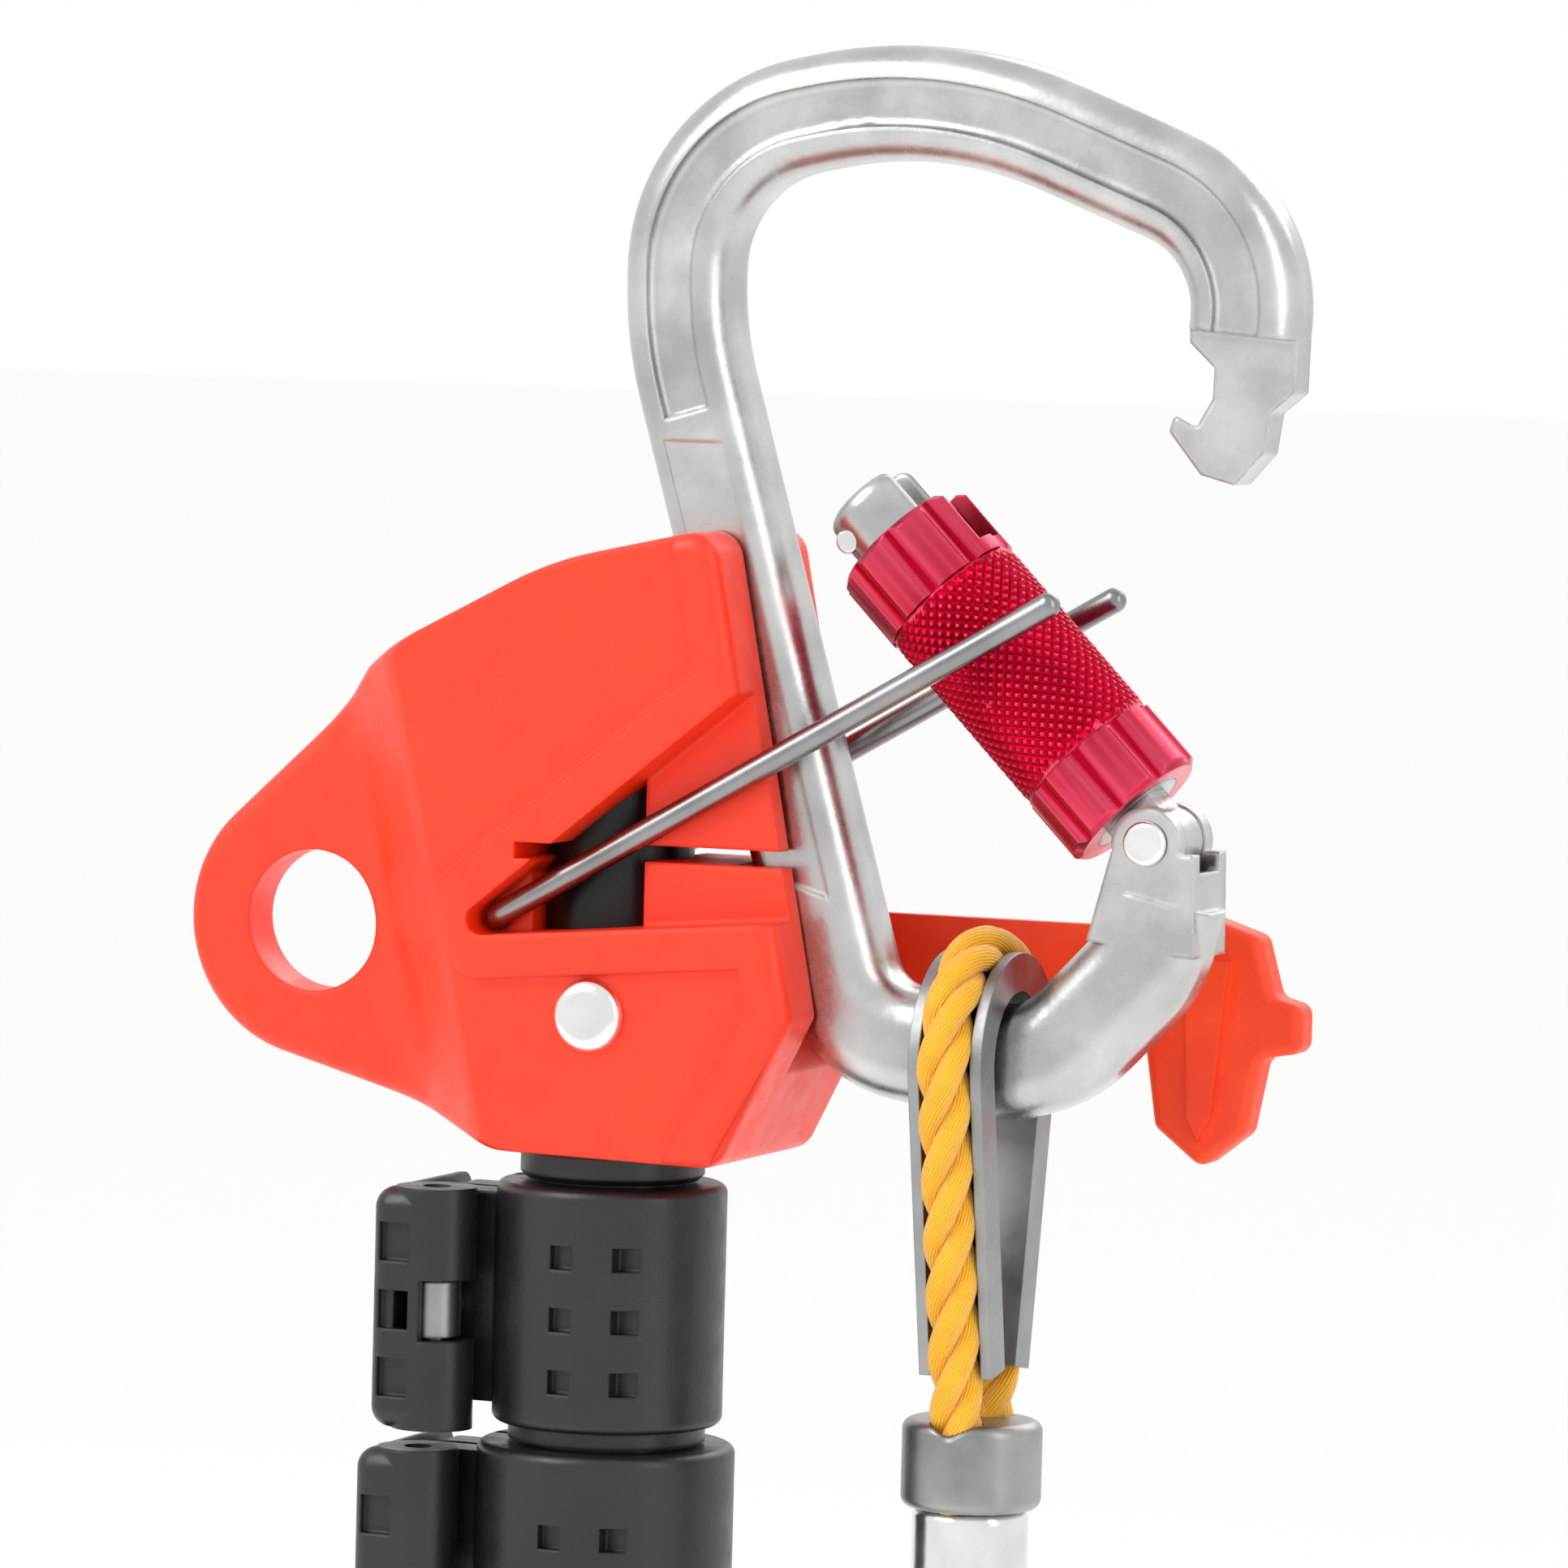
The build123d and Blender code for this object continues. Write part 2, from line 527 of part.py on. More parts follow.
def coil(mean_r, wire_r, low, high, turns):
    """A spring as a stack of wound rings joined by its wire's rise."""
    path = Helix((high - low) / turns, high - low, mean_r)
    start = Plane(origin=path @ 0, z_dir=path % 0)
    return Pos(0, 0, low) * sweep(start * Circle(wire_r), path=path, is_frenet=True)


def lock_sleeve():
    """The twist sleeve: lobed ends, a waist for the knurl, a slot that lets the nose in."""
    body = upright(SLEEVE_R, SLEEVE_START, SLEEVE_END)
    body = chamfer(body.edges().filter_by(GeomType.CIRCLE), 0.7)
    body -= tube(SLEEVE_R + 2, KNURL_R, KNURL_START, KNURL_END)
    for k in range(SLEEVE_LOBES):
        turn = Rot(0, 0, k * 360 / SLEEVE_LOBES)
        for low, high in ((SLEEVE_START - 1, KNURL_START), (KNURL_END, SLEEVE_END + 1)):
            body -= turn * upright(LOBE_R, low, high, x=SLEEVE_R + LOBE_R - 0.55)
    body -= upright(SLEEVE_BORE_R, SLEEVE_START + COLLAR_LENGTH, SLEEVE_END + 1)
    body -= upright(GATE_R + SLIDE_FIT, SLEEVE_START - 1, SLEEVE_END)
    return body - block((0, -NOSE_HALF - 0.9, FORK_START), (SLEEVE_R + 3, NOSE_HALF + 0.9, SLEEVE_END + 1))


# ---------------------------------------------------------------- strap
def strap_band(low_x, high_x):
    return block((low_x, STRAP_Y, STRAP_LOW), (high_x, STRAP_Y + STRAP_THICK, STRAP_HIGH))


def strap_anchor():
    """The strap's root pad, riveted to the back of the head."""
    pad = strap_band(STRAP_ROOT_X, STRAP_HINGE_X - STRAP_THICK / 2 - STRAP_HINGE_GAP)
    foot = block((STRAP_ROOT_X, CHEEK_Y, STRAP_LOW),
                 (STRAP_ROOT_X + STRAP_FOOT_LENGTH, STRAP_Y, STRAP_LOW + STRAP_FOOT_HEIGHT))
    return pad + foot - strap_rivet()


def strap_rivet():
    """The rivet through the strap's root, with a flat head outside and its shank on the cheek."""
    x, z = STRAP_ROOT_X + STRAP_FOOT_LENGTH / 2, STRAP_LOW + STRAP_FOOT_HEIGHT / 2
    outside = STRAP_Y + STRAP_THICK
    shank = Pos(x, (CHEEK_Y + outside) / 2, z) * Rot(90, 0, 0) * Cylinder(STRAP_RIVET_R, outside - CHEEK_Y)
    head = Pos(x, outside + 0.5, z) * Rot(90, 0, 0) * Cylinder(1.7 * STRAP_RIVET_R, 1.0)
    return shank + head


def retaining_strap():
    knuckle = upright(STRAP_THICK / 2, STRAP_LOW, STRAP_HIGH, STRAP_HINGE_X, STRAP_Y + STRAP_THICK / 2)
    band = strap_band(STRAP_HINGE_X, PADDLE[0][0] + 1)
    outline = FilletPolyline(*PADDLE, radius=PADDLE_RADIUS, close=True)
    paddle = slab(make_face(outline.edges()), STRAP_Y, STRAP_Y + PADDLE_THICK)
    paddle = fillet(paddle.edges().group_by(Axis.Y)[0] + paddle.edges().group_by(Axis.Y)[-1], PADDLE_EDGE)
    return knuckle + band + paddle + slab(Polygon(*PADDLE_RIB, align=None), STRAP_Y - PADDLE_RIB_RISE, STRAP_Y + 1)


# ---------------------------------------------------------------- strop
def bar_bottom_z():
    """Height of the foot bar's centre line over the eye."""
    (low_x, low_z), (high_x, high_z) = FOOT[0], FOOT[1]
    return low_z + (EYE_X - low_x) * (high_z - low_z) / (high_x - low_x)


def eye_route(stop):
    """A teardrop in Y and Z about the bar: up one leg from a depth, round the crown, down the other."""
    radius, foot_y, drop = CROWN_R, ROPE_R + 0.1, THROAT_DROP + BAND_HEIGHT
    distance = hypot(foot_y, drop)
    lift = radius ** 2 / distance
    off = radius * (1 - (radius / distance) ** 2) ** 0.5
    touch_y = (lift * foot_y + off * drop) / distance
    touch_z = (-lift * drop + off * foot_y) / distance
    start_y = touch_y + (foot_y - touch_y) * (stop + touch_z) / (drop + touch_z)
    legs = [Line((0, side * start_y, -stop), (0, side * touch_y, touch_z)) for side in (-1, 1)]
    crown = ThreePointArc((0, -touch_y, touch_z), (0, 0, radius), (0, touch_y, touch_z))
    return Wire([legs[0], crown, legs[1]])


def rope_eye():
    low = THROAT_DROP + BAND_HEIGHT
    route = eye_route(low + 1)
    start = Plane(origin=route @ 0, z_dir=route % 0)
    return sweep(start * Circle(ROPE_R), path=route) - block((-20, -20, -low - 20), (20, 20, -low))


def thimble():
    """A grooved teardrop of sheet metal that lines the eye."""
    route = eye_route(THROAT_DROP - THIMBLE_SHORT)
    start = Plane(origin=route @ 0, x_dir=(1, 0, 0), z_dir=route % 0)
    depth = ROPE_R + THIMBLE_WALL
    shell = Pos(0, inward(start) * depth / 2) * Rectangle(2 * THIMBLE_HALF, depth)
    return sweep(start * (shell - Circle(ROPE_R)), path=route)


def inward(plane):
    """Which way along the section's Y axis the bar lies."""
    return 1 if (plane.y_dir.Y > 0) else -1


def band(low, high, hole):
    ring = upright(BAND_R, low, high)
    return fillet(ring.edges().filter_by(GeomType.CIRCLE), 1.2) - hole


def ferrule(low, high):
    body = upright(FERRULE_R, low, high)
    return fillet(body.edges().filter_by(GeomType.CIRCLE), 1.0) - upright(ROPE_R, low - 1, high + 1)


def strop_pieces():
    """Both eyes of the strop with their bands and ferrules, and the rope between."""
    band_low = -THROAT_DROP - BAND_HEIGHT
    ferrule_low = band_low - FERRULE_LENGTH
    centre = ferrule_low - STROP_GAP / 2
    eye = rope_eye()
    upper = {"thimble": thimble(), "rope_eye": eye, "band": band(band_low, -THROAT_DROP, eye),
             "ferrule": ferrule(ferrule_low, band_low)}
    place = Pos(EYE_X, 0, bar_bottom_z())
    pieces = {}
    for name, shape in upper.items():
        pieces[f"upper_{name}"] = place * shape
        pieces[f"lower_{name}"] = place * mirror(shape, Plane.XY.offset(centre))
    pieces["strop_rope"] = place * upright(ROPE_R, 2 * centre - band_low, band_low)
    return pieces


def pieces():
    """Every piece by name, in head coordinates."""
    lower = Clamp(LOWER_CLAMP_R, LOWER_CLAMP_HEIGHT, LOWER_CLAMP_TOP, MIDDLE_R, OUTER_R)
    upper = Clamp(UPPER_CLAMP_R, UPPER_CLAMP_HEIGHT, UPPER_CLAMP_TOP, INNER_R, MIDDLE_R)
    found = {
        "outer_tube": outer_tube(), "foot_cap": foot_cap(), "middle_tube": middle_tube(),
        "middle_tube_bush": bush(MIDDLE_R, OUTER_R - TUBE_WALL, MIDDLE_BOTTOM),
        "inner_tube": inner_tube(), "inner_tube_bush": bush(INNER_R, MIDDLE_R - TUBE_WALL, INNER_BOTTOM),
        "stop_collar": stop_collar(), "head_shell": head_shell(), "head_rivet": head_rivet(),
        "wire_prop": wire_prop(), "strap_anchor": strap_anchor(), "retaining_strap": retaining_strap(),
        "strap_rivet": strap_rivet(), "carabiner_frame": carabiner_frame(), "gate_rivet": gate_rivet(),
        "gate_core": in_gate(gate_core()), "latch_pin": in_gate(latch_pin()),
        "gate_plunger": in_gate(gate_plunger()), "lock_sleeve": in_gate(lock_sleeve()),
        "gate_spring": in_gate(coil(PLUNGER_R - 0.4, 0.3, SLEEVE_START + 8.6, FORK_START - 8.6, 12)),
        "sleeve_spring": in_gate(coil((GATE_R + SLEEVE_BORE_R) / 2, 0.5, SLEEVE_START + 4.2,
                                      FORK_START - 2, 14)),
    }
    for name, clamp in (("lower", lower), ("upper", upper)):
        found[f"{name}_clamp_collar"] = clamp.collar()
        found[f"{name}_clamp_lever"] = clamp.lever()
        found[f"{name}_clamp_screw"] = clamp.screw()
        found[f"{name}_clamp_pin"] = clamp.pin_rod(PIN_R)
    return found | strop_pieces()


def gate_rivet():
    return rivet(RIVET_R, RIVET_DOME_R, RIVET_DOME_RISE, BAR_DEPTH / 2, HINGE_X, HINGE_Z)


os.makedirs("parts", exist_ok=True)
for node, solid in pieces().items():
    save(node, solid)
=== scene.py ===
# %% [markdown]
# # A clip stick that holds a carabiner open
#
# A clip stick is a telescopic pole whose head props a locking carabiner open, so that a climber can hang it
# on a bolt out of reach. The working model arrives as separate solids on moving bodies. This lesson gives
# each one the finish of what it is made of, and builds in detail what a plain solid can't show: the laid
# rope, the knurled grip of the twist sleeve, and the marks of use.
#
# Everything is in metres, with the origin in the middle of the hand grip and Z up the pole.

# %% Load the working model
import json
import math

import bmesh
import bpy
from mathutils import Matrix, Vector


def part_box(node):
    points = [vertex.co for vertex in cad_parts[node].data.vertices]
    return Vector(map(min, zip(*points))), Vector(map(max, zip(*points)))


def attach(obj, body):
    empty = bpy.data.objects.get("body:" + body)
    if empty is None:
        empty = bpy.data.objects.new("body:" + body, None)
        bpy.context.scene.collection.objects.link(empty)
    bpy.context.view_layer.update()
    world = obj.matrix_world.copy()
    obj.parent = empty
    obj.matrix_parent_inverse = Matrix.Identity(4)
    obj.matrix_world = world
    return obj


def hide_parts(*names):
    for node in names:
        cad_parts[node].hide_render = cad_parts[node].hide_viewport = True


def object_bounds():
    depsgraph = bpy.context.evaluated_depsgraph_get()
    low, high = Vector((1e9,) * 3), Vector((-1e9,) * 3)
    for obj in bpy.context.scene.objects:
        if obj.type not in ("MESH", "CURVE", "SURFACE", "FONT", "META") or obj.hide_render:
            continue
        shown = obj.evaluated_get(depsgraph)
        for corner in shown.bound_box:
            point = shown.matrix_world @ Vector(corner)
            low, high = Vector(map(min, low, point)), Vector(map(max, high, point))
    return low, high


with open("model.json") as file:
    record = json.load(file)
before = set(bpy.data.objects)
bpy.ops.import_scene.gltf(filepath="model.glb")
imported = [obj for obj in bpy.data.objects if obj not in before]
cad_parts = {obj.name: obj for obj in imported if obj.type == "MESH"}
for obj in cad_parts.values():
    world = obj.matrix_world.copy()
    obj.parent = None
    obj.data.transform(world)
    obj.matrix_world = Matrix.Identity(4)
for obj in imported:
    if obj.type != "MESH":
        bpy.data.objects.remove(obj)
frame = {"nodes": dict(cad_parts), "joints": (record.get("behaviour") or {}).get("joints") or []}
cad_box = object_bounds()
MM = 0.001


# %% [markdown]
# ## The camera
#
# The stick is looked at from a little to the right and from about head height, through a long lens, so that
# upright lines stay upright. The lens is worked out from how many millimetres the picture spans.

# %% Camera
AIM = Vector((18.8, 0.0, 270.5)) * MM
CAMERA_SIDE, CAMERA_RISE, CAMERA_ROLL = (math.radians(a) for a in (22.0, 3.5, 1.5))
CAMERA_DISTANCE = 0.9
SENSOR_MM = 36.0
PICTURE_SPAN = 0.168


def look_from(side, rise):
    """Unit vector from the object towards a viewer."""
    return Vector((math.sin(side) * math.cos(rise), -math.cos(side) * math.cos(rise), math.sin(rise)))


def add_camera():
    camera = bpy.data.objects.new("camera", bpy.data.cameras.new("camera"))
    bpy.context.scene.collection.objects.link(camera)
    camera.data.sensor_width = SENSOR_MM
    camera.data.lens = SENSOR_MM * CAMERA_DISTANCE / PICTURE_SPAN
    away = look_from(CAMERA_SIDE, CAMERA_RISE)
    turn = away.to_track_quat("Z", "Y").to_matrix().to_4x4() @ Matrix.Rotation(CAMERA_ROLL, 4, "Z")
    camera.matrix_world = Matrix.Translation(AIM + away * CAMERA_DISTANCE) @ turn
    bpy.context.scene.camera = camera
    return camera


camera = add_camera()
print("lens", round(camera.data.lens), "mm")


# %% [markdown]
# ## Light and ground
#
# Polished and tumbled metal shows only what surrounds it, so the studio is an even white room with three soft
# panels. A plain floor carries the foot of the pole. The standard view transform keeps dyed plastics as
# saturated as they are.

# %% Studio
FLOOR_SIZE = 60.0           # large enough for its far edge to meet the room's pale horizon
ROOM_STRENGTH = 1.0
PALE = "#FBFBFA"
# name, side and rise in degrees, distance in metres, width and height in metres, power in watts
PANELS = (("key_panel", -38, 38, 1.3, (0.7, 0.9), 9), ("fill_panel", 70, 20, 1.5, (0.35, 1.4), 4),
          ("back_panel", 170, 35, 1.5, (1.2, 0.8), 6))


def linear(hex_colour):
    """An sRGB hex colour as linear red, green, blue and alpha."""
    parts = [int(hex_colour[i:i + 2], 16) / 255 for i in (1, 3, 5)]
    return [p / 12.92 if p <= 0.04045 else ((p + 0.055) / 1.055) ** 2.4 for p in parts] + [1.0]


def node(tree, kind, inputs=None, **settings):
    """Add a node, set its settings, then fill or link its inputs."""
    made = tree.nodes.new("ShaderNode" + kind)
    for name, value in settings.items():
        setattr(made, name, value)
    for key, value in (inputs or {}).items():
        if isinstance(value, bpy.types.NodeSocket):
            tree.links.new(value, made.inputs[key])
        else:
            made.inputs[key].default_value = value
    return made


def new_material(name):
    material = bpy.data.materials.new(name)
    material.use_nodes = True
    material.node_tree.nodes.clear()
    return material, material.node_tree


def finish_material(material, tree, inputs):
    shader = node(tree, "BsdfPrincipled", inputs)
    node(tree, "OutputMaterial", {"Surface": shader.outputs[0]})
    return material


def add_panel(name, side, rise, distance, size, power):
    lamp = bpy.data.objects.new(name, bpy.data.lights.new(name, "AREA"))
    bpy.context.scene.collection.objects.link(lamp)
    lamp.data.shape = "RECTANGLE"
    lamp.data.size, lamp.data.size_y = size
    lamp.data.energy = power
    away = look_from(math.radians(side), math.radians(rise))
    turn = away.to_track_quat("Z", "Y").to_matrix().to_4x4()
    lamp.matrix_world = Matrix.Translation(AIM + away * distance) @ turn
    return lamp


def add_studio():
    bpy.context.scene.view_settings.view_transform = "Standard"
    for panel in PANELS:
        add_panel(*panel)
    world = bpy.data.worlds.new("pale_room")
    world.use_nodes = True
    tree = world.node_tree
    tree.nodes.clear()
    room = node(tree, "Background", {0: linear("#FFFFFF"), 1: ROOM_STRENGTH})
    node(tree, "OutputWorld", {0: room.outputs[0]})
    bpy.context.scene.world = world


def add_floor():
    mesh = bpy.data.meshes.new("floor")
    half = FLOOR_SIZE / 2
    low = cad_box[0][2]
    mesh.from_pydata([(-half, -half, low), (half, -half, low), (half, half, low), (-half, half, low)],
                     [], [(0, 1, 2, 3)])
    floor = bpy.data.objects.new("floor", mesh)
    bpy.context.scene.collection.objects.link(floor)
    material, tree = new_material("painted_board_white")
    grain = node(tree, "TexNoise", {"Scale": 40.0, "Detail": 3.0})
    rough = node(tree, "MapRange", {0: grain.outputs[0], 3: 0.65, 4: 0.85})
    mesh.materials.append(finish_material(material, tree, {"Base Color": linear(PALE),
                                                          "Roughness": rough.outputs[0]}))
    return floor


add_studio()
floor = add_floor()
print("floor at", round(floor.data.vertices[0].co.z, 3), "m")


# %% [markdown]
# ## Finishes
#
# Every finish here has three layers of detail: a colour that drifts a little, a roughness that tells how the
# surface was made and handled, and a fine relief. Object coordinates in metres drive them all, so one
# millimetre in a pattern is one millimetre on the piece, wherever the piece is and however it moves.

# %% Helpers for finishes
def space(tree):
    """Object coordinates, the same on every piece of the stick."""
    return node(tree, "TexCoord").outputs["Object"]


def noise(tree, where, size_mm, detail=3.0, stretch=None):
    """Soft noise whose blobs are size_mm across; stretch makes streaks along an axis."""
    if stretch:
        where = node(tree, "Mapping", {"Vector": where, "Scale": stretch}).outputs[0]
    return node(tree, "TexNoise", {"Vector": where, "Scale": 1 / (size_mm * MM), "Detail": detail}).outputs[0]


def spread(tree, value, low, high):
    """Map the useful middle of a noise onto a range."""
    return node(tree, "MapRange", {0: value, 1: 0.3, 2: 0.7, 3: low, 4: high}).outputs[0]


def drift(tree, value, first, second):
    """Blend between two hex colours."""
    ramp = node(tree, "ValToRGB", {0: value})
    ramp.color_ramp.elements[0].color = linear(first)
    ramp.color_ramp.elements[1].color = linear(second)
    ramp.color_ramp.elements[0].position = 0.3
    ramp.color_ramp.elements[1].position = 0.7
    return ramp.outputs[0]


def relief(tree, height, depth_mm, strength=1.0, base=None):
    """A bump whose full height is depth_mm."""
    inputs = {"Height": height, "Distance": depth_mm * MM, "Strength": strength}
    if base is not None:
        inputs["Normal"] = base
    return node(tree, "Bump", inputs).outputs[0]


def soft_edges(tree, radius_mm):
    """Rounds the look of a moulded or tumbled edge."""
    return node(tree, "Bevel", {"Radius": radius_mm * MM}, samples=4).outputs[0]


def edge_wear(tree):
    """Near 1 on sharp outer edges, where handling polishes or chips a surface."""
    sharp = node(tree, "NewGeometry").outputs["Pointiness"]
    return node(tree, "MapRange", {0: sharp, 1: 0.52, 2: 0.60, 3: 0.0, 4: 1.0}).outputs[0]


print("helpers ready")


# %% [markdown]
# ### Moulded orange nylon
#
# The head is injection moulded in glass-filled nylon, dyed right through. A spark-eroded mould leaves an even
# matt grain of about 0.3 mm, and knocks leave small pale scuffs. Nylon's IOR is 1.53.

# %% Moulded nylon
def moulded_nylon(name, first, second, roughness, edge_mm, grain_mm=0.35):
    material, tree = new_material(name)
    where = space(tree)
    broad = noise(tree, where, 14.0, 2.0)
    grain = noise(tree, where, grain_mm, 2.0)
    scuff = noise(tree, where, 3.0, 6.0)
    rough = node(tree, "Math", {0: spread(tree, scuff, roughness - 0.06, roughness + 0.08),
                                1: spread(tree, grain, -0.03, 0.03)}, operation="ADD").outputs[0]
    normal = relief(tree, grain, 0.03, 0.55, soft_edges(tree, edge_mm))
    return finish_material(material, tree, {
        "Base Color": drift(tree, broad, first, second), "Roughness": rough, "Normal": normal,
        "IOR": 1.53})


head_nylon = moulded_nylon("nylon_orange_moulded", "#F02C00", "#F83200", 0.40, 0.9)
clamp_nylon = moulded_nylon("nylon_black_moulded", "#121214", "#1B1B1D", 0.36, 0.5)
print(head_nylon.name, clamp_nylon.name)


# %% [markdown]
# ### Elastomer strap and rubber foot
#
# The strap is a thermoplastic elastomer in the same orange: softer, a little deeper in colour and with a dry
# bloom. The foot cap is black rubber with dust in its grain.

# %% Elastomers
def elastomer(name, first, second, roughness):
    material, tree = new_material(name)
    where = space(tree)
    bloom = noise(tree, where, 6.0, 5.0)
    grain = noise(tree, where, 0.5, 2.0)
    normal = relief(tree, grain, 0.02, 0.5, soft_edges(tree, 0.4))
    return finish_material(material, tree, {
        "Base Color": drift(tree, bloom, first, second), "IOR": 1.5, "Normal": normal,
        "Roughness": spread(tree, bloom, roughness - 0.07, roughness + 0.08)})


strap_elastomer = elastomer("elastomer_orange_moulded", "#EE3400", "#F84408", 0.5)
foot_rubber = elastomer("rubber_black_moulded", "#141414", "#242322", 0.72)
print(strap_elastomer.name, foot_rubber.name)


# %% [markdown]
# ### Metals
#
# A metal is told by how its surface was worked. The carabiner is hot forged, then tumbled in stones, which
# leaves a soft grey sheen with a fine orange-peel. The sleeve is turned and anodised red: the dye lies in
# the oxide, so its reflection is tinted. Tubes are drawn and hard anodised black, with faint lengthwise lines.
# Wire, rivets and ferrules are stainless or plated steel.

# %% Metals
METAL_SPREAD = 0.06         # how much a metal's roughness drifts either way


def worked_metal(name, first, second, roughness, peel_mm, peel_depth, edge_mm=0.3, worn=None):
    material, tree = new_material(name)
    where = space(tree)
    broad = noise(tree, where, 9.0, 4.0)
    peel = noise(tree, where, peel_mm, 3.0)
    colour = drift(tree, broad, first, second)
    if worn:
        colour = node(tree, "MixRGB", {0: edge_wear(tree), 1: colour, 2: linear(worn)}).outputs[0]
    normal = relief(tree, peel, peel_depth, 0.6, soft_edges(tree, edge_mm))
    rough = node(tree, "Math", {0: spread(tree, broad, roughness - METAL_SPREAD, roughness + METAL_SPREAD),
                                1: spread(tree, peel, -0.02, 0.04)}, operation="ADD").outputs[0]
    return finish_material(material, tree, {"Base Color": colour, "Metallic": 1.0, "Roughness": rough,
                                            "Normal": normal})


LENGTHWISE = (1.0, 1.0, 0.03)
forged_alloy = worked_metal("aluminium_forged_tumbled", "#AEAEAD", "#CBCBC9", 0.27, 0.8, 0.03, edge_mm=0.8)
anodised_red = worked_metal("aluminium_anodised_red", "#A80526", "#C20A30", 0.25, 0.3, 0.006, edge_mm=0.25,
                            worn="#D94A64")
stainless_wire = worked_metal("steel_stainless_drawn", "#7E7D7B", "#98979A", 0.24, 0.25, 0.006)
polished_rivet = worked_metal("steel_stainless_polished", "#DADAD8", "#F0F0EE", 0.16, 0.5, 0.004)
zinc_steel = worked_metal("steel_zinc_plated", "#8C8D8F", "#A6A7A8", 0.34, 0.4, 0.008)
galvanised = worked_metal("steel_galvanised_sheet", "#8B8C8D", "#A3A4A4", 0.4, 0.9, 0.02, edge_mm=0.2)
pressed_alloy = worked_metal("aluminium_pressed_band", "#8D8D8C", "#A9A9A7", 0.38, 0.5, 0.02, edge_mm=0.5)
bright_ferrule = worked_metal("aluminium_swaged_bright", "#D8D8D6", "#F1F1EF", 0.15, 2.2, 0.05, edge_mm=0.6)
print("metals:", sum(m.name.startswith(("steel", "aluminium")) for m in bpy.data.materials))


# %% [markdown]
# ### Black anodised tube
#
# Hard anodising is a black oxide over drawn aluminium. It isn't a bare metal to the eye: it is a dark, satin
# dielectric skin, with lines left along the tube by the die and rubbed streaks where the clamps slide.

# %% Black tube
def black_anodised():
    material, tree = new_material("aluminium_anodised_black")
    where = space(tree)
    lines = noise(tree, where, 0.35, 2.0, LENGTHWISE)
    rub = noise(tree, where, 5.0, 5.0, (1.0, 1.0, 0.15))
    return finish_material(material, tree, {
        "Base Color": drift(tree, rub, "#0C0C0D", "#19191B"), "Metallic": 0.35,
        "Roughness": spread(tree, rub, 0.26, 0.4), "Normal": relief(tree, lines, 0.01, 0.6)})


tube_anodised = black_anodised()
print(tube_anodised.name)


# %% [markdown]
# ### Polyester rope yarn
#
# Each strand of a laid rope is a bundle of twisted yarns. Fine ridges run along the strand and a soft sheen
# lies over them. The colour is painted lighter on the yarn ridges and darker in the grooves between them: a
# painted highlight and painted shade that follow the yarn relief, with a little dirt drifting the darker tone
# at random. The mesh carries the strands themselves, and its u coordinate runs round a strand, so the yarns
# are drawn as a wave in u and v.

# %% Rope yarn
YARNS_ROUND = 16


def rope_yarn():
    material, tree = new_material("polyester_yarn_yellow")
    around = node(tree, "UVMap", uv_map="strand").outputs[0]
    tilt = node(tree, "Mapping", {"Vector": around, "Rotation": (0.0, 0.0, math.radians(12))}).outputs[0]
    yarns = node(tree, "TexWave", {"Vector": tilt, "Scale": YARNS_ROUND / 2, "Distortion": 1.2, "Detail": 2.0,
                                   "Detail Scale": 1.5}).outputs["Fac"]
    where = space(tree)
    dirt = noise(tree, where, 2.5, 5.0)
    fuzz = noise(tree, where, 0.15, 2.0)
    # painted highlight and painted shade: lighter yellow on the yarn ridges, deeper amber in the grooves between
    # them
    colour = node(tree, "MixRGB", {0: yarns, 1: drift(tree, dirt, "#E39400", "#F6AC00"),
                                   2: linear("#FFC21A")}).outputs[0]
    normal = relief(tree, yarns, 0.12, 0.9, relief(tree, fuzz, 0.04, 0.6))
    return finish_material(material, tree, {
        "Base Color": colour, "Roughness": 0.62, "Normal": normal, "IOR": 1.52, "Sheen Weight": 0.35,
        "Sheen Roughness": 0.4})


rope_polyester = rope_yarn()
print(rope_polyester.name)


# %% [markdown]
# ## Dressing the solids
#
# A solid whose shape is right keeps its mesh and only takes a finish, so it still fits and moves as designed.

# %% Finishes for the working solids
FINISH = {
    head_nylon: ["head_shell"],
    clamp_nylon: ["lower_clamp_collar", "upper_clamp_collar", "lower_clamp_lever", "upper_clamp_lever",
                  "stop_collar", "middle_tube_bush", "inner_tube_bush"],
    strap_elastomer: ["strap_anchor", "retaining_strap"],
    foot_rubber: ["foot_cap"],
    tube_anodised: ["outer_tube", "middle_tube", "inner_tube"],
    forged_alloy: ["carabiner_frame", "gate_core"],
    anodised_red: ["lock_sleeve"],
    stainless_wire: ["wire_prop"],
    polished_rivet: ["head_rivet", "strap_rivet", "gate_rivet", "latch_pin"],
    zinc_steel: ["lower_clamp_screw", "upper_clamp_screw", "lower_clamp_pin", "upper_clamp_pin",
                 "gate_plunger", "gate_spring", "sleeve_spring"],
    galvanised: ["upper_thimble", "lower_thimble"],
    pressed_alloy: ["upper_band", "lower_band"],
    bright_ferrule: ["upper_ferrule", "lower_ferrule"],
}


def dress(node_name, material):
    target = frame["nodes"][node_name]
    if not target.material_slots:
        target.data.materials.append(material)
    for place in target.material_slots:
        place.link = "OBJECT"
        place.material = material


for material, names in FINISH.items():
    for name in names:
        dress(name, material)
print("dressed", sum(len(names) for names in FINISH.values()), "of", len(frame["nodes"]))


# %% [markdown]
# ## Knurl of the twist sleeve
#
# A knurl is rolled: two sets of helical teeth cross and raise a field of small pyramids. It could be a bump,
# but its outline shows against the light, so it is a ring of mesh. Each point's height comes from its
# distance to the nearest groove of either set.

# %% Knurl ring
KNURL_TEETH = 36
KNURL_DEPTH = 0.34 * MM
STEPS_PER_TOOTH = 6


def joint_named(name):
    return next(j for j in frame["joints"] if j["name"] == name)


